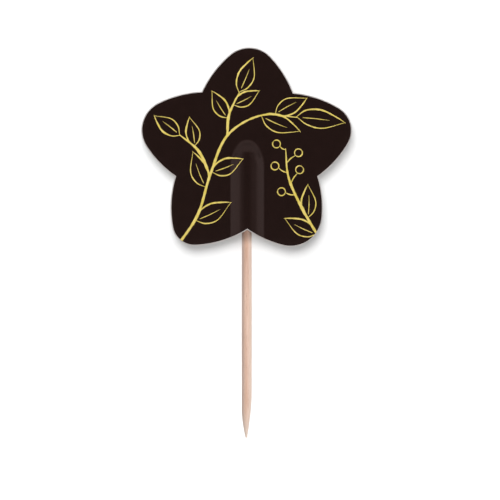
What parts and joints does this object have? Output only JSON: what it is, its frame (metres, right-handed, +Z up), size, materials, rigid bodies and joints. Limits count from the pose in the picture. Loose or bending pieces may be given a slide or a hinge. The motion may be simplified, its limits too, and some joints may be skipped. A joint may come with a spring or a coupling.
{
  "type": "cupcake pick",
  "caption": "Rounded star of two glued cards on a pointed wooden toothpick, pushed into a cupcake or canape as a topper.",
  "frame": {"origin": "the sharpened end of the pick, on its axis", "axes": "+Z up along the pick to the star, +X to the right seen from the printed front, +Y towards the back, so the printed front faces -Y"},
  "size_m": [0.0485, 0.003, 0.0899],
  "materials": {
    "pick_wood": "matte",
    "printed_card": "satin",
    "plain_card": "matte",
    "glue": "gloss"
  },
  "bodies": {
    "root": {"toothpick": "pick_wood", "front_card": "printed_card", "back_card": "plain_card", "glue_film": "glue"}
  },
  "joints": []
}
